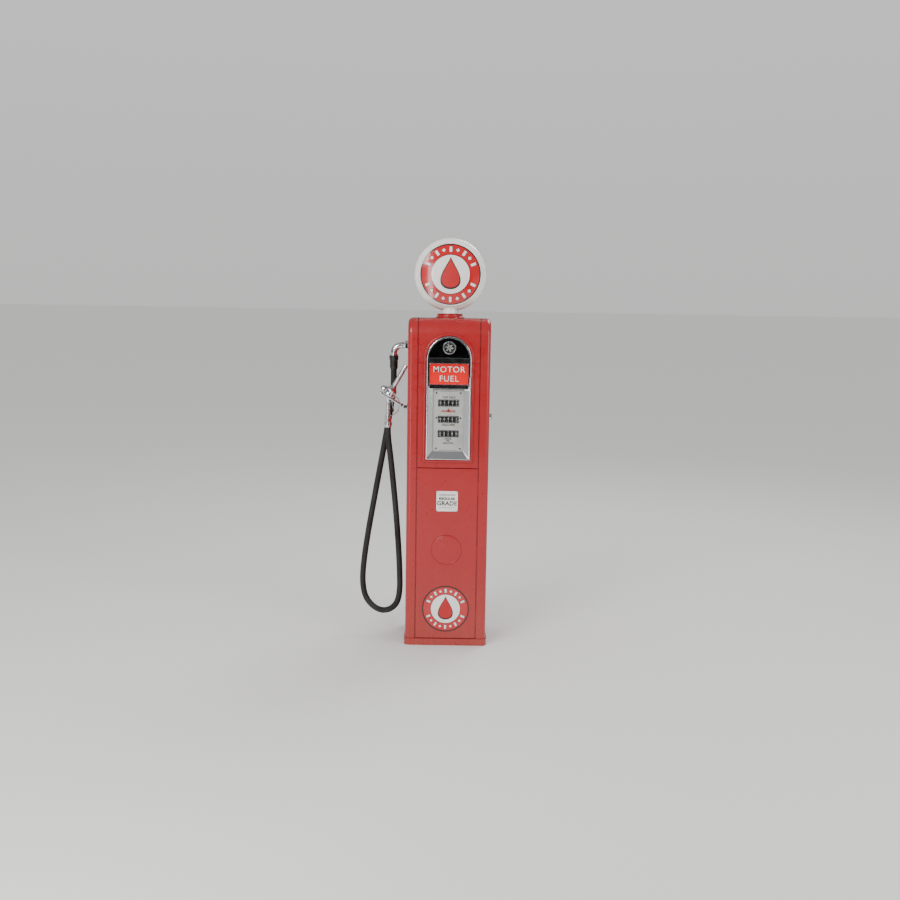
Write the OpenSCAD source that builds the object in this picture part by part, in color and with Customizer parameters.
// Double-faced computing gas pump, about 2.27 m tall, in millimetres.
// X runs to the right of the front face, the front face looks along -Y, and Z is up from the island.
// The origin is the centre of the four anchor holes, on the underside of the base.

/* [Cabinet] */
// Width of the cabinet over its side panels
cabinet_w = 452; // [440:1:460]
// Depth of the cabinet over its two faces
cabinet_d = 400; // [390:1:420]
// Height of the cabinet, without the globe
cabinet_h = 1826; // [1820:1:1860]
// Width of the flat panels between the two grooves
panel_w = 334; // [326:1:340]
// Thickness of the sheet metal
sheet_t = 3; // [2:0.5:4]
// Radius of the front and rear top edges
crown_r = 90; // [70:1:95]
// Height of the cast base
base_h = 38; // [30:1:45]

/* [Face] */
// Half width of the arched chrome bezel
bezel_r = 122; // [120:1:126]
// Height of the centre of the bezel's arch
arch_z = 1608; // [1602:1:1612]
// Height of the bezel's lower edge
bezel_z = 1054; // [1045:1:1064]
// Height of the sight glass and of the outlet
outlet_z = 1668; // [1664:1:1670]

/* [Globe] */
// Outer radius of the globe's body
globe_r = 202; // [200:1:206]
// Radius of each lens
lens_r = 170; // [166:1:172]

/* [Hose and nozzle] */
// Outer diameter of the hose
hose_d = 34; // [30:1:36]
// Angle of the spout from the vertical
spout_tilt = 30; // [26:1:32]

/* [Hidden] */
$fn = 64;

red = "firebrick";
half_w = cabinet_w / 2;
half_d = cabinet_d / 2;
panel_x = panel_w / 2;
groove_w = 6;
side_x = panel_x + groove_w;
corner_r = 22;
gap = 0.5;
seam_z = arch_z - 24;
door_top_z = 1004;
door_z = base_h + 3;
moulding_w = 14;
moulding_y = 8;
round_sign_r = 131;
round_sign_z = 210;
crank_cover_z = 547;
crank_cover_r = 84;
plate_z = 822;
hinge_r = 3;
hinge_pin_r = 1.5;
running = 0.05;
sight_r = 33;
anchor_x = 160;
anchor_y = 150;

/* Shared shapes */

// A rod or a tube along an axis, from one point on it
module rod_x(x, y, z, r, l, bore = 0) {
    translate([x, y, z]) rotate([0, 90, 0]) tube(r, l, bore);
}
module rod_y(x, y, z, r, l, bore = 0) {
    translate([x, y, z]) rotate([-90, 0, 0]) tube(r, l, bore);
}
module rod_z(x, y, z, r, l, bore = 0) {
    translate([x, y, z]) tube(r, l, bore);
}
module tube(r, l, bore = 0) {
    difference() {
        cylinder(r = r, h = l);
        if (bore > 0) translate([0, 0, -1]) cylinder(r = bore, h = l + 2);
    }
}
// A block from its lowest corner to its highest
module block(low, high) {
    translate(low) cube(high - low);
}
// A rectangle with round corners, centred
module round_rect(w, h, r) {
    square([w - 2 * r, h], center = true);
    square([w, h - 2 * r], center = true);
    for (x = [-1, 1], y = [-1, 1])
        translate([x * (w / 2 - r), y * (h / 2 - r)]) circle(r = r);
}
// A shape drawn in X and Z, standing as a plate between two depths
module upright(y_low, y_high) {
    translate([0, y_high, 0]) rotate([90, 0, 0]) linear_extrude(y_high - y_low) children();
}
// The same shape on the rear face as on the front, turned half round
module rear() {
    rotate([0, 0, 180]) children();
}
module both_faces() {
    children();
    rear() children();
}
// The cabinet's outline seen from the side, in Y and Z, drawn in by an inset
module side_outline(inset) {
    r = crown_r - inset;
    top = cabinet_h - inset;
    translate([-half_d + inset, base_h]) square([cabinet_d - 2 * inset, top - r - base_h]);
    translate([-half_d + crown_r, base_h]) square([cabinet_d - 2 * crown_r, top - base_h]);
    for (y = [-1, 1]) translate([y * (half_d - crown_r), top - r]) circle(r = r);
}
// An extrusion of the side outline between two values of X
module side_slab(x_low, x_high, inset = 0) {
    translate([x_low, 0, 0]) rotate([90, 0, 90]) linear_extrude(x_high - x_low) side_outline(inset);
}
// The arch of the face, drawn in X and Z, larger than the bezel by a margin
module arch(margin, low = bezel_z) {
    translate([0, arch_z]) circle(r = bezel_r + margin, $fn = 96);
    translate([-bezel_r - margin, low - margin])
        square([2 * (bezel_r + margin), arch_z - low + margin]);
}

/* Cabinet */

module base_casting() {
    wall = 12;
    floor_t = 14;
    color(red) difference() {
        linear_extrude(base_h - gap) round_rect(cabinet_w + 12, cabinet_d + 12, 28);
        translate([0, 0, floor_t]) linear_extrude(base_h)
            round_rect(cabinet_w - 2 * wall, cabinet_d - 2 * wall, 14);
        for (x = [-1, 1], y = [-1, 1]) rod_z(x * anchor_x, y * anchor_y, -1, 9, floor_t + 2);
        rod_z(-95, 90, -1, 34, floor_t + 2);
        rod_z(130, 155, -1, 13.5, floor_t + 2);
    }
}

post_leg = 32;
post_x = 206;
post_y = 178;
module frame_posts() {
    leg_t = 4;
    color("dimgray") for (a = [0, 1], b = [0, 1])
        mirror([a, 0, 0]) mirror([0, b, 0]) difference() {
            block([post_x - post_leg, post_y - post_leg, 14], [post_x, post_y, 1560]);
            block([0, 0, 13], [post_x - leg_t, post_y - leg_t, 1561]);
        }
}
shelf_z = [700, 1090, 1480];
module frame_shelves() {
    color("dimgray") for (z = shelf_z) difference() {
        block([-post_x + 5, -post_y + 5, z], [post_x - 5, post_y - 5, z + 4]);
        rod_z(-60, 0, z - 1, 14, 6);
        rod_z(-150, -20, z - 1, 24, 6);
        if (z > 1100) block([-90, -140, z - 1], [90, 140, z + 5]);
        if (z < 1000) block([-40, 60, z - 1], [100, 140, z + 5]);
    }
}

// The whole cabinet's outside, drawn in by an inset, with round corners and round top edges
module cabinet_solid(inset) {
    r = corner_r - inset;
    w = cabinet_w - 2 * inset;
    d = cabinet_d - 2 * inset;
    top = cabinet_h - inset;
    intersection() {
        side_slab(-w / 2, w / 2, inset);
        linear_extrude(cabinet_h + 1) round_rect(w, d, r);
        upright(-half_d, half_d) {
            translate([-w / 2, 0]) square([w, top - r]);
            translate([-w / 2 + r, 0]) square([w - 2 * r, top]);
            for (x = [-1, 1]) translate([x * (w / 2 - r), top - r]) circle(r = r);
        }
    }
}
// The left side panel: a pan whose front, rear and top edges turn over a round corner
module side_panel_shell() {
    mirror([1, 0, 0]) difference() {
        cabinet_solid(0);
        cabinet_solid(sheet_t);
        block([-half_w - 1, -half_d - 1, 0], [side_x, half_d + 1, cabinet_h + 1]);
        block([0, -half_d + sheet_t, 0], [half_w - sheet_t, half_d - sheet_t, base_h + 60]);
    }
}
module right_side_panel() {
    color(red) difference() {
        rear() side_panel_shell();
        rod_x(half_w - 10, 0, row_z[1], 9.5, 20);
    }
}
hook_y = -62;
// the nozzle's body leans over the spout's tilt from this point, and its foot rests on the hook
nozzle_x = -338;
nozzle_z = 1390;
hook_x = -half_w - 18;
tine_r = 5;
tine_drop = tine_r + 0.3;
hook_z = nozzle_z - tine_drop * cos(spout_tilt)
    - (hook_x - nozzle_x + tine_drop * sin(spout_tilt)) * tan(spout_tilt);
elbow_y = 30;
module left_side_panel() {
    color(red) difference() {
        side_panel_shell();
        rod_x(-half_w - 10, elbow_y, outlet_z, 22, 20);
        rod_x(-half_w - 10, hook_y, hook_z, 10, 20);
    }
}

module top_hood() {
    color(red) difference() {
        union() {
            difference() {
                side_slab(-panel_x, panel_x);
                side_slab(-panel_x - 1, panel_x + 1, sheet_t);
                block([-panel_x - 1, -half_d - 1, 0], [panel_x + 1, half_d + 1, seam_z + 1]);
                block([-80, -80, cabinet_h - 40], [80, 80, cabinet_h - sheet_t]);
            }
            both_faces() difference() {
                upright(-half_d - moulding_y, -half_d + 1) arch(1.5 + moulding_w);
                block([-200, -half_d - 20, 0], [200, 0, seam_z + 1]);
            }
        }
        both_faces() upright(-half_d - 30, -half_d + 40) arch(1.5);
        rod_z(0, 0, cabinet_h - 20, 26, 40);
    }
}
module upper_panels() {
    low = door_top_z + 4;
    color(red) both_faces() difference() {
        union() {
            block([-panel_x, -half_d, low], [panel_x, -half_d + sheet_t, seam_z - 1]);
            intersection() {
                upright(-half_d - moulding_y, -half_d + 1) arch(1.5 + moulding_w);
                block([-200, -half_d - 20, 0], [200, 0, seam_z - 1]);
            }
        }
        upright(-half_d - 30, -half_d + 40) arch(1.5);
    }
}

/* Doors and their hinges */

door_hinge_x = panel_x + groove_w / 2;
door_hinge_y = -half_d + 1.5;
door_hinge_zs = [160, 520, 880];
knuckle_h = 26;
dial_hinge_x = bezel_r + 5.5;
dial_hinge_y = -half_d - 12.5;
dial_hinge_zs = [1130, 1320, 1510];

// The pins of both doors and of both dial bezels, with the fixed half of each hinge
module door_hinge_pins() {
    color("silver") both_faces() {
        for (z = door_hinge_zs) {
            rod_z(door_hinge_x, door_hinge_y, z - knuckle_h, hinge_pin_r, 3 * knuckle_h);
            for (end = [-knuckle_h, knuckle_h]) {
                rod_z(door_hinge_x, door_hinge_y, z + end, hinge_r - 0.6, knuckle_h - gap);
                block([door_hinge_x, door_hinge_y, z + end],
                    [side_x, door_hinge_y + hinge_r - 0.6, z + end + knuckle_h - gap]);
            }
        }
        for (z = dial_hinge_zs) {
            rod_z(dial_hinge_x, dial_hinge_y, z - knuckle_h, hinge_pin_r, 3 * knuckle_h);
            for (end = [-knuckle_h, knuckle_h]) {
                rod_z(dial_hinge_x, dial_hinge_y, z + end, hinge_r, knuckle_h - gap);
                block([dial_hinge_x - 1, dial_hinge_y, z + end],
                    [dial_hinge_x + 3, -half_d - moulding_y, z + end + knuckle_h - gap]);
            }
        }
    }
}
// The moving half of a hinge: three knuckles bored for the pins, with tabs to the door's edge
module door_knuckles(x, y, zs, r, tab_x) {
    for (z = zs) difference() {
        union() {
            rod_z(x, y, z + gap / 2, r, knuckle_h - gap * 1.5);
            block([tab_x, y, z + gap / 2], [x, y + r, z + knuckle_h - gap]);
        }
        rod_z(x, y, z - 1, hinge_pin_r + running, knuckle_h + 2);
    }
}
module access_door(hole_r) {
    flange = 16;
    difference() {
        block([-panel_x, -half_d, door_z], [panel_x, -half_d + flange, door_top_z]);
        block([-panel_x + sheet_t, -half_d + sheet_t, door_z + sheet_t],
            [panel_x - sheet_t, -half_d + flange + 1, door_top_z - sheet_t]);
        if (hole_r > 0) rod_y(0, -half_d - 1, crank_cover_z, hole_r, sheet_t + 2);
    }
    door_knuckles(door_hinge_x, door_hinge_y, door_hinge_zs, hinge_r - 0.6, panel_x - 0.5);
}
module front_access_door() { color(red) access_door(45); }
module rear_access_door() { color(red) rear() access_door(0); }

// A round enamelled sign, slightly dished, on the door
module round_sign() {
    rod_y(0, -half_d - 3, round_sign_z, round_sign_r, 3);
}
module front_round_sign() { color("crimson") round_sign(); }
module rear_round_sign() { color("crimson") rear() round_sign(); }
module front_enamel_plate() {
    color("white") translate([0, 0, plate_z]) upright(-half_d - 3, -half_d) round_rect(118, 113, 8);
}
// Pressed cover over the hole where a hand crank reaches the pumping unit
module front_crank_cover() {
    color(red) {
        rod_y(0, -half_d - 5, crank_cover_z, crank_cover_r - 4, 5);
        rod_y(0, -half_d - 3, crank_cover_z, crank_cover_r, 3);
        rod_y(0, -half_d, crank_cover_z, 44.5, 6);
    }
}

/* Face: chrome bezel, lit panel and dial */

bezel_front_y = -half_d - 16;
bezel_back_y = -half_d + 4;
ad_low_z = 1466;
ad_high_z = 1584;
ad_half_w = 108;
dial_half_w = 86;
dial_low_z = 1100;
dial_high_z = 1438;
funnel_half_w = 113;
funnel_low_z = dial_low_z - 38;
funnel_high_z = dial_high_z + 8;

module dial_bezel() {
    difference() {
        upright(bezel_front_y, bezel_back_y) arch(0);
        // the recessed half round, with the hole for the sight glass
        upright(bezel_front_y - 1, bezel_front_y + 6) intersection() {
            translate([0, arch_z]) circle(r = bezel_r - 9, $fn = 96);
            translate([-bezel_r, arch_z + 4]) square([2 * bezel_r, bezel_r]);
        }
        rod_y(0, bezel_front_y - 1, outlet_z, sight_r + 4, 40);
        // the lit panel's opening, with a seat behind it
        block([-ad_half_w, bezel_front_y - 1, ad_low_z], [ad_half_w, bezel_back_y + 1, ad_high_z]);
        block([-ad_half_w - 6, bezel_back_y - 7, ad_low_z - 6],
            [ad_half_w + 6, bezel_back_y + 1, ad_high_z + 6]);
        // the dial's opening, sloped like a funnel
        hull() {
            block([-funnel_half_w, bezel_front_y - 1, funnel_low_z],
                [funnel_half_w, bezel_front_y, funnel_high_z]);
            block([-dial_half_w, bezel_front_y + 12, dial_low_z],
                [dial_half_w, bezel_front_y + 13, dial_high_z]);
        }
        block([-dial_half_w, bezel_front_y, dial_low_z], [dial_half_w, bezel_back_y + 1, dial_high_z]);
        block([-dial_half_w - 8, bezel_back_y - 5, dial_low_z - 8],
            [dial_half_w + 8, bezel_back_y + 1, dial_high_z + 8]);
    }
    door_knuckles(dial_hinge_x, dial_hinge_y, dial_hinge_zs, hinge_r, bezel_r - 0.5);
}
module ad_glass() {
    block([-ad_half_w - 5.5, bezel_back_y - 7, ad_low_z - 5.5],
        [ad_half_w + 5.5, bezel_back_y - 1, ad_high_z + 5.5]);
}
module dial_glass() {
    block([-dial_half_w - 7.5, bezel_back_y - 5, dial_low_z - 7.5],
        [dial_half_w + 7.5, bezel_back_y - 1, dial_high_z + 7.5]);
}
module front_dial_bezel() { color("silver") dial_bezel(); }
module rear_dial_bezel() { color("silver") rear() dial_bezel(); }
module front_ad_glass() { color("red") ad_glass(); }
module front_dial_glass() { color("lightcyan", 0.3) dial_glass(); }
module rear_glasses() {
    rear() {
        color("red") ad_glass();
        color("lightcyan", 0.3) dial_glass();
    }
}

plate_y = bezel_back_y + 3;
row_z = [1366, 1276, 1197];
wheel_r = 25;
wheel_w = 21;
wheel_axis_y = plate_y + 3 + wheel_r + 1;
window_w = 106;
window_h = 28;
dial_screw_zs = [1115, 1284, 1421];
module dial_plates() {
    color("white") both_faces() difference() {
        block([-dial_half_w - 4, plate_y, dial_low_z - 5], [dial_half_w + 4, plate_y + 3, dial_high_z + 5]);
        for (z = row_z)
            block([-window_w / 2, plate_y - 1, z - window_h / 2],
                [window_w / 2, plate_y + 4, z + window_h / 2]);
    }
}
module dial_screws() {
    color("gray") both_faces() for (x = [-66, 66], z = dial_screw_zs)
        rod_y(x, plate_y - 2, z, 4.5, 2);
}

/* Register: number wheels on cross shafts in a frame */

frame_x = 92;
module register_frame() {
    color("slategray") difference() {
        block([-frame_x, -160, 1100], [frame_x, 160, 1420]);
        block([-frame_x + 4, -161, 1104], [frame_x - 4, 161, 1421]);
        for (z = row_z, y = [-1, 1]) rod_x(-frame_x - 1, y * wheel_axis_y, z, 4, 2 * frame_x + 2);
        rod_z(-60, 0, 1099, 10, 6);
        rod_x(frame_x - 5, 0, row_z[1], 7 + running, 10);
    }
}
module register_shafts() {
    color("silver") for (z = row_z, y = [-1, 1])
        rod_x(-frame_x, y * wheel_axis_y, z, 4, 2 * frame_x);
}
// Five wheels side by side, each with a raised bead between its figures
module wheel_row(y, z) {
    pitch = wheel_w + 1;
    for (i = [-2:2]) rod_x(i * pitch - wheel_w / 2, y, z, wheel_r, wheel_w, 4 + running);
}
module front_sale_wheels() { color("black") wheel_row(wheel_axis_y, row_z[0]); }
module front_gallon_wheels() { color("black") wheel_row(wheel_axis_y, row_z[1]); }
module rear_sale_wheels() { color("black") wheel_row(-wheel_axis_y, row_z[0]); }
module rear_gallon_wheels() { color("black") wheel_row(-wheel_axis_y, row_z[1]); }
module price_wheels() {
    color("black") for (y = [-1, 1]) wheel_row(y * wheel_axis_y, row_z[2]);
}
// Vertical shaft from the meter, with the spur gear that drives the register
module register_drive_shaft() {
    teeth = 16;
    color("goldenrod") {
        rod_z(-60, 0, 905, 8, 280);
        translate([-60, 0, 1185]) difference() {
            cylinder(r = 26, h = 12);
            for (i = [0:teeth - 1]) rotate([0, 0, i * 360 / teeth])
                translate([26, 0, -1]) cylinder(r = 2.4, h = 14, $fn = 16);
        }
    }
}
// Knob on the right side that turns the number wheels back to zero
module reset_knob() {
    color("silver") {
        rod_x(frame_x - 4, 0, row_z[1], 7, half_w - frame_x + 4 + 3);
        rod_x(half_w + 2, 0, row_z[1], 17, 12);
        block([half_w + 14, -4, row_z[1] - 15], [half_w + 18, 4, row_z[1] + 15]);
    }
}

/* Globe */

globe_z = cabinet_h + 38 + globe_r;
collar_top_z = cabinet_h + 24;
module globe_collar() {
    color(red) translate([0, 0, cabinet_h]) rotate_extrude() difference() {
        polygon([[28, 0], [82, 0], [82, 5], [62, 14], [56, 24], [28, 24]]);
        translate([82, 17]) circle(r = 12);
    }
}
// The globe's body: a round hoop of half-round section, open to a lens on each side
rim_y = 64;
module globe_body() {
    glass_t = 5;
    color("white") difference() {
        union() {
            translate([0, 0, globe_z]) rotate([90, 0, 0]) rotate_extrude($fn = 96) intersection() {
                translate([globe_r - rim_y, 0]) difference() {
                    circle(r = rim_y);
                    circle(r = rim_y - glass_t);
                }
                translate([lens_r + 1, -100]) square([100, 200]);
            }
            rod_z(0, 0, collar_top_z, 46, 36);
        }
        rod_z(0, 0, collar_top_z - 1, 32, 80);
    }
}
// Domed lens: a cap of a large sphere, as a thin shell
module globe_lenses() {
    lens_dome = 700;
    lens_t = 5;
    color("white") both_faces() translate([0, 0, globe_z]) rotate([90, 0, 0]) intersection() {
        translate([0, 0, rim_y + 14 - lens_dome]) difference() {
            sphere(r = lens_dome, $fn = 128);
            sphere(r = lens_dome - lens_t, $fn = 128);
        }
        cylinder(r = lens_r, h = rim_y + 30, $fn = 96);
    }
}
lamp_z = collar_top_z + 2;
module lamp_socket() {
    color("ivory") {
        rod_z(0, 0, cabinet_h - 14, 24, lamp_z - cabinet_h + 14);
        rod_z(0, 0, lamp_z, 20, 46);
    }
}
module lamp_bulb() {
    bulb_z = lamp_z + 112;
    color("lightyellow") {
        rod_z(0, 0, lamp_z + 46, 14, 40);
        translate([0, 0, bulb_z]) sphere(r = 36);
    }
}

/* Sight glass */

sight_front_y = bezel_front_y - 2;
module sight_glass_body() {
    spider_y = -182;
    color("silver") difference() {
        union() {
            difference() {
                union() {
                    rod_y(0, sight_front_y, outlet_z, sight_r, -2 * sight_front_y);
                    rod_x(-half_w + 40, elbow_y, outlet_z, 19, half_w - 60);
                    rod_z(-150, -20, outlet_z - 60, 19, 60);
                    rod_x(-150, -20, outlet_z, 19, 130);
                }
                rod_y(0, sight_front_y - 1, outlet_z, 26, -2 * sight_front_y + 2);
                rod_x(-half_w + 39, elbow_y, outlet_z, 13, half_w - 50);
            }
            // a bar across each end, which carries the spinner's shaft
            both_faces() block([-27, spider_y, outlet_z - 6], [27, spider_y + 6, outlet_z + 6]);
        }
        rod_y(0, spider_y - 1, outlet_z, 3 + running, -2 * spider_y + 2);
    }
}
// Round bull's-eye glasses, one in each end of the sight glass body
module sight_glass_lenses() {
    color("lightcyan", 0.4) both_faces() difference() {
        intersection() {
            translate([0, sight_front_y + 24, outlet_z]) sphere(r = 36);
            rod_y(0, sight_front_y - 20, outlet_z, 25.9, 32);
        }
        translate([0, sight_front_y + 24, outlet_z]) sphere(r = 31);
    }
}
// Two vane wheels on one long shaft, turned by the flow
module flow_spinner() {
    color("orange") {
        rod_y(0, -206, outlet_z, 3, 412);
        both_faces() for (a = [0:60:150])
            translate([0, -192, outlet_z]) rotate([0, a, 0])
                cube([44, 7, 2], center = true);
    }
}

/* Measuring and pumping */

meter_z = 832;
module meter_body() {
    cylinder_l = 44;
    color("lightgray") difference() {
        union() {
            rod_z(-60, 0, 780, 62, 110);
            rod_z(-60, 0, 890, 40, 30);
            for (a = [45:90:315]) translate([-60, 0, meter_z]) rotate([0, 0, a]) rotate([0, 90, 0])
                cylinder(r = 34, h = 62 + cylinder_l);
            for (a = [45:90:315]) translate([-60, 0, meter_z]) rotate([0, 0, a])
                translate([62 + cylinder_l, 0, 0]) rotate([0, 90, 0]) cylinder(r = 42, h = 8);
        }
        rod_z(-60, 0, 904, 8 + running, 20);
    }
}
// The three pipes, each as straight lengths joined by solid elbows
module pipe_elbow(p, r) {
    translate(p) sphere(r = r);
}
module riser_pipe() {
    color("gray") {
        rod_z(-150, -20, 1000, 17, outlet_z - 60 - 1000);
        pipe_elbow([-150, -20, 1000], 21);
        rod_y(-150, -20, 1000, 17, 112);
        pipe_elbow([-150, 92, 1000], 21);
        rod_z(-150, 92, 949, 17, 51);
    }
}
module meter_pipe() {
    color("gray") {
        rod_z(-150, 92, meter_z + 42, 20, 949 - meter_z - 42);
        // from the air separator up to the meter's nearest cylinder
        rod_x(-38, 100, 640, 17, 78);
        pipe_elbow([40, 100, 640], 21);
        rod_z(40, 100, 640, 17, meter_z - 640);
        pipe_elbow([40, 100, meter_z], 21);
        translate([-60, 0, meter_z]) rotate([0, 0, 45]) rotate([0, 90, 0])
            translate([0, 0, 114]) cylinder(r = 17, h = 26);
    }
}
pump_x = -95;
pump_z = 330;
module pumping_unit() {
    color("darkslategray") difference() {
        union() {
            rod_y(pump_x, -70, pump_z, 88, 150);
            rod_y(pump_x, -84, pump_z, 70, 14);
            block([pump_x - 60, -50, 14], [pump_x + 60, 60, pump_z]);
            rod_y(pump_x, 80, pump_z, 34, 24);
            rod_y(pump_x, 80, pump_z - 60, 10, 4);
        }
        rod_y(pump_x, 40, pump_z, 12 + running, 70);
        for (a = [30:60:330]) translate([pump_x, -90, pump_z]) rotate([0, a, 0])
            translate([58, 0, 0]) rotate([-90, 0, 0]) cylinder(r = 4, h = 16);
    }
}
module air_separator() {
    color("darkslategray") {
        rod_z(pump_x, 0, pump_z + 89, 80, 190);
        rod_z(pump_x, 0, pump_z + 279, 88, 12);
        rod_y(pump_x + 40, 60, 560, 17, 40);
        rod_z(pump_x + 40, 100, 543, 17, 114);
    }
}
pulley_y = 118;
pump_pulley_r = 92;
motor_pulley_r = 38;
// A grooved pulley along Y
module grooved_pulley(x, z, r) {
    rod_y(x, pulley_y, z, r, 4);
    rod_y(x, pulley_y + 4, z, r - 9, 12);
    rod_y(x, pulley_y + 16, z, r, 4);
}
module pump_pulley() {
    color("black") {
        grooved_pulley(pump_x, pump_z, pump_pulley_r);
        rod_y(pump_x, 40.5, pump_z, 12, pulley_y - 40);
    }
}
motor_x = 112;
motor_z = 150;
module motor_pulley() {
    color("black") {
        grooved_pulley(motor_x, motor_z, motor_pulley_r);
        rod_y(motor_x, 60.5, motor_z, 9, pulley_y - 60);
    }
}
module motor_body() {
    color("dimgray") difference() {
        union() {
            rod_y(motor_x, -130, motor_z, 78, 210);
            rod_y(motor_x, -142, motor_z, 60, 12);
            rod_y(motor_x, 80, motor_z, 60, 14);
            block([motor_x - 60, -100, 14], [motor_x + 60, -60, motor_z]);
            block([motor_x - 60, 20, 14], [motor_x + 60, 60, motor_z]);
        }
        rod_y(motor_x, 60, motor_z, 9 + running, 40);
    }
}
module v_belt() {
    module loop(extra) {
        hull() {
            translate([pump_x, pump_z]) circle(r = pump_pulley_r - 9 + extra);
            translate([motor_x, motor_z]) circle(r = motor_pulley_r - 9 + extra);
        }
    }
    color("black") upright(pulley_y + 5, pulley_y + 15) difference() {
        loop(9);
        loop(0.4);
    }
}
module suction_pipe() {
    color("gray") difference() {
        union() {
            rod_z(-95, 90, 0, 24, 180);
            rod_z(-95, 90, 0, 30, 40);
        }
        rod_z(-95, 90, -1, 19, 61);
    }
}
module junction_box() {
    color("dimgray") difference() {
        union() {
            block([90, 140, 300], [170, 175, 400]);
            rod_z(130, 155, 0, 13, 300);
        }
        rod_z(130, 155, -1, 10, 61);
    }
}
module switch_box() {
    color("dimgray") difference() {
        block([-204, hook_y - 40, hook_z - 60], [-172, hook_y + 40, hook_z + 60]);
        rod_x(-205, hook_y, hook_z, 8, 30);
    }
}

/* Outlet, hose and nozzle. The nozzle stands in the plane y = hook_y */

elbow_x = -313;
module side_flanges() {
    color("silver") {
        rod_x(-half_w - 8, elbow_y, outlet_z, 34, 8, 19 + gap);
        rod_x(-half_w - 7, hook_y, hook_z, 30, 7);
        // ears and pin that carry the hook
        for (y = [-17, 10.5])
            block([hook_x - 8, hook_y + y, hook_z - 9], [-half_w - 7, hook_y + y + 6.5, hook_z + 9]);
        rod_y(hook_x, hook_y - 17, hook_z, 4, 34);
    }
}
bend_r = 42;
coupling_z = 1612;
module outlet_elbow() {
    pipe_r = 18;
    color("goldenrod") {
        rod_x(elbow_x + bend_r, elbow_y, outlet_z, pipe_r, half_w * -1 + 39 - elbow_x - bend_r);
        translate([elbow_x + bend_r, elbow_y, outlet_z - bend_r]) rotate([90, 0, 0])
            rotate([0, 0, 90]) rotate_extrude(angle = 90) translate([bend_r, 0]) circle(r = pipe_r);
        rod_z(elbow_x, elbow_y, coupling_z, pipe_r, outlet_z - bend_r - coupling_z);
    }
}
coupling_l = 80;
module upper_hose_coupling() {
    color("black") {
        rod_z(elbow_x, elbow_y, coupling_z - 24, 26, 24);
        rod_z(elbow_x, elbow_y, coupling_z - coupling_l, 22.5, coupling_l - 24);
    }
}

hose_r = hose_d / 2;
// Points that the hose's middle passes through, from the upper coupling to the nozzle's
hose_route = [
    [elbow_x, elbow_y, coupling_z - coupling_l], [elbow_x, elbow_y, 1470], [-318, 32, 1400],
    [-332, 37, 1300], [-356, 46, 1150], [-390, 58, 960], [-424, 70, 770], [-455, 81, 590],
    [-478, 89, 430], [-487, 92, 300], [-472, 81, 210], [-431, 50, 159], [-375, 8, 140],
    [-319, -34, 159], [-278, -65, 210], [-263, -76, 290], [-264, -77, 390], [-271, -76, 520],
    [-285, -74, 700], [-303, -70, 880], [-320, -66, 1030], [-333, -63, 1130],
    [nozzle_x, hook_y, 1180], [nozzle_x, hook_y, 1214]];
hose_steps = 2;
hose_sides = 12;
// A direction that the hose's plane is square to, which keeps its rings from twisting
hose_normal = [0.6, 0.8, 0];
function curve_point(a, b, c, d, t) =
    0.5 * (2 * b + (c - a) * t + (2 * a - 5 * b + 4 * c - d) * t ^ 2
    + (3 * b - a - 3 * c + d) * t ^ 3);
function unit(v) = v / norm(v);
function route_point(i) =
    i < 0 ? 2 * hose_route[0] - hose_route[1]
    : i < len(hose_route) ? hose_route[i]
    : 2 * hose_route[len(hose_route) - 1] - hose_route[len(hose_route) - 2];
hose_path = concat([for (i = [0:len(hose_route) - 2], k = [0:hose_steps - 1])
    curve_point(route_point(i - 1), route_point(i), route_point(i + 1), route_point(i + 2),
        k / hose_steps)], [hose_route[len(hose_route) - 1]]);
function hose_heading(i) =
    i == 0 || i == len(hose_path) - 1 ? [0, 0, i == 0 ? -1 : 1]
    : unit(hose_path[i + 1] - hose_path[i - 1]);
module hose() {
    rings = len(hose_path);
    points = [for (i = [0:rings - 1]) let (t = hose_heading(i), b = unit(cross(t, hose_normal)),
        n = cross(b, t)) for (k = [0:hose_sides - 1])
            hose_path[i] + hose_r * (cos(k * 360 / hose_sides) * n + sin(k * 360 / hose_sides) * b)];
    sides = [for (i = [0:rings - 2], k = [0:hose_sides - 1]) let (j = (k + 1) % hose_sides)
        [i * hose_sides + k, i * hose_sides + j, (i + 1) * hose_sides + j, (i + 1) * hose_sides + k]];
    first = [[for (k = [0:hose_sides - 1]) hose_sides - 1 - k]];
    last = [[for (k = [0:hose_sides - 1]) (rings - 1) * hose_sides + k]];
    color("black") polyhedron(points, concat(sides, first, last), convexity = 6);
}

// Turns what is drawn along +Z to lean towards the cabinet from the nozzle's bend
module leaning() {
    translate([nozzle_x, hook_y, nozzle_z]) rotate([0, spout_tilt, 0]) children();
}
handle_low_z = 1276;
module lower_hose_coupling() {
    color("silver") {
        rod_z(nozzle_x, hook_y, 1214, 22, 40);
        rod_z(nozzle_x, hook_y, 1254, 18, handle_low_z - 1254);
    }
}
lever_x = nozzle_x + 22;
lever_z = nozzle_z - 26;
module nozzle_body() {
    color("silver") {
        rod_z(nozzle_x, hook_y, handle_low_z, 13, nozzle_z - handle_low_z + 4);
        leaning() {
            cylinder(r = 33, h = 40);
            translate([0, 0, 40]) cylinder(r1 = 33, r2 = 16, h = 24);
        }
        // cap of the valve, on the side away from the cabinet
        translate([nozzle_x, hook_y, nozzle_z]) rotate([0, spout_tilt - 90, 0]) {
            translate([22, 0, 0]) cylinder(r = 17, h = 42);
            translate([22, 0, 42]) sphere(r = 17);
        }
        // cheeks and pin for the lever
        for (y = [-9.5, 6])
            block([nozzle_x, hook_y + y, lever_z - 7], [lever_x + 6, hook_y + y + 3.5, nozzle_z]);
        rod_y(lever_x, hook_y - 9.5, lever_z, 2.5, 19);
    }
}
spout_low = 64;
spout_l = 134;
spout_r = 12;
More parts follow.
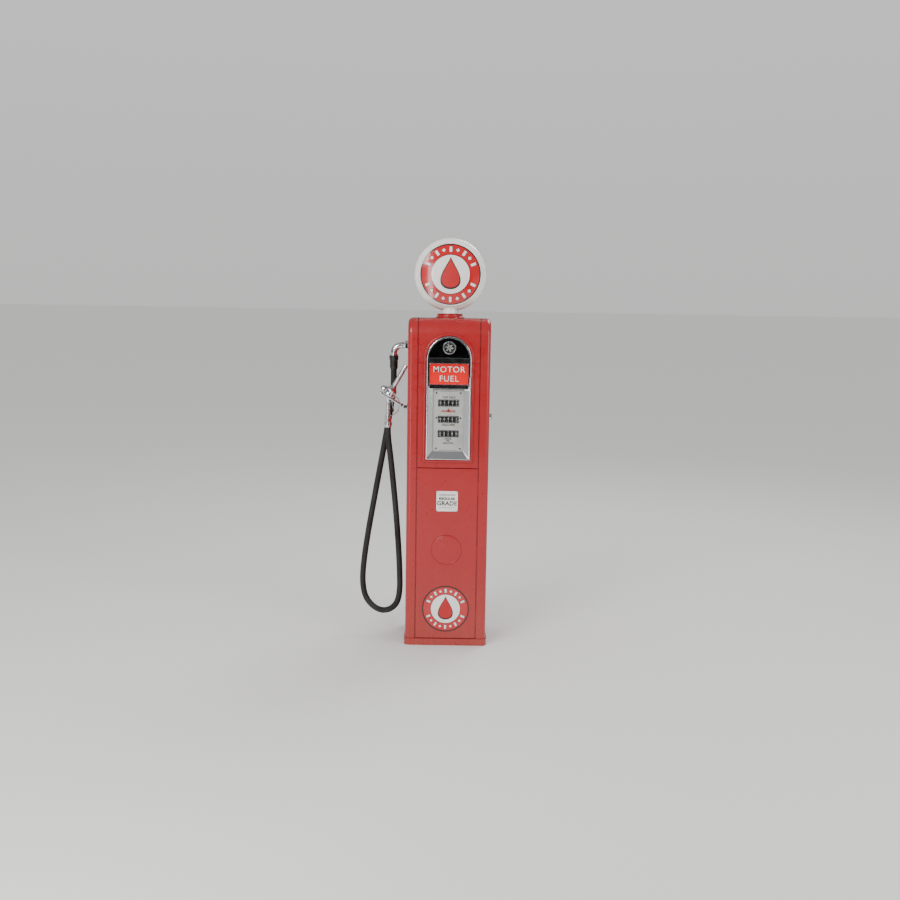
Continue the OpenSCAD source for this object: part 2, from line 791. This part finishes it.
module nozzle_spout() {
    color("silver") leaning() difference() {
        union() {
            translate([0, 0, spout_low]) cylinder(r = spout_r, h = spout_l);
            for (i = [0:10]) translate([0, 0, spout_low + 6 + i * 8]) cylinder(r = 14, h = 5);
        }
        translate([0, 0, spout_low - 1]) cylinder(r = 9.5, h = spout_l + 2);
    }
}
module nozzle_guard() {
    outer_x = nozzle_x + 62;
    color("silver") translate([0, hook_y, 0]) upright(-6, 6) difference() {
        polygon([[nozzle_x + 30, nozzle_z + 2], [outer_x, nozzle_z - 16], [outer_x, 1302],
            [nozzle_x + 20, handle_low_z], [nozzle_x + 12, handle_low_z]]);
        polygon([[nozzle_x + 20, nozzle_z + 2], [outer_x - 4, nozzle_z - 18], [outer_x - 4, 1303],
            [nozzle_x + 18, handle_low_z + 5], [nozzle_x + 12, handle_low_z + 5]]);
    }
}
module nozzle_lever() {
    color("silver") difference() {
        union() {
            rod_y(lever_x, hook_y - 5.5, lever_z, 6, 11);
            translate([lever_x, hook_y, lever_z]) rotate([0, -8, 0])
                translate([-3, -5.5, -64]) cube([6, 11, 62]);
        }
        rod_y(lever_x, hook_y - 7, lever_z, 2.5 + running, 14);
    }
}
// Forked hook on a pin: the nozzle's body rests across its two tines
module nozzle_hook() {
    tine_l = 155;
    crossbar = 20;
    color("silver") translate([hook_x, hook_y, hook_z]) rotate([0, spout_tilt - 90, 0]) {
        difference() {
            union() {
                rod_y(0, -10, 0, 9, 20);
                translate([0, 0, 5]) cylinder(r = 6, h = crossbar - 5);
            }
            rod_y(0, -11, 0, 4 + running, 22);
        }
        rod_y(0, -27, crossbar, 6, 54);
        for (y = [-27, 27]) translate([0, y, crossbar]) {
            cylinder(r = tine_r, h = tine_l - crossbar);
            translate([0, 0, tine_l - crossbar]) sphere(r = 7);
        }
    }
}

/* Each node by its own name */

base_casting();
frame_posts();
frame_shelves();
left_side_panel();
right_side_panel();
top_hood();
upper_panels();
door_hinge_pins();
globe_collar();
globe_body();
globe_lenses();
lamp_socket();
lamp_bulb();
sight_glass_body();
sight_glass_lenses();
flow_spinner();
register_frame();
register_shafts();
price_wheels();
front_sale_wheels();
front_gallon_wheels();
rear_sale_wheels();
rear_gallon_wheels();
dial_plates();
dial_screws();
register_drive_shaft();
reset_knob();
meter_body();
riser_pipe();
meter_pipe();
pumping_unit();
air_separator();
pump_pulley();
motor_body();
motor_pulley();
v_belt();
suction_pipe();
junction_box();
switch_box();
side_flanges();
outlet_elbow();
upper_hose_coupling();
hose();
lower_hose_coupling();
nozzle_body();
nozzle_spout();
nozzle_guard();
nozzle_lever();
nozzle_hook();
front_access_door();
front_round_sign();
front_enamel_plate();
front_crank_cover();
rear_access_door();
rear_round_sign();
front_dial_bezel();
front_ad_glass();
front_dial_glass();
rear_dial_bezel();
rear_glasses();
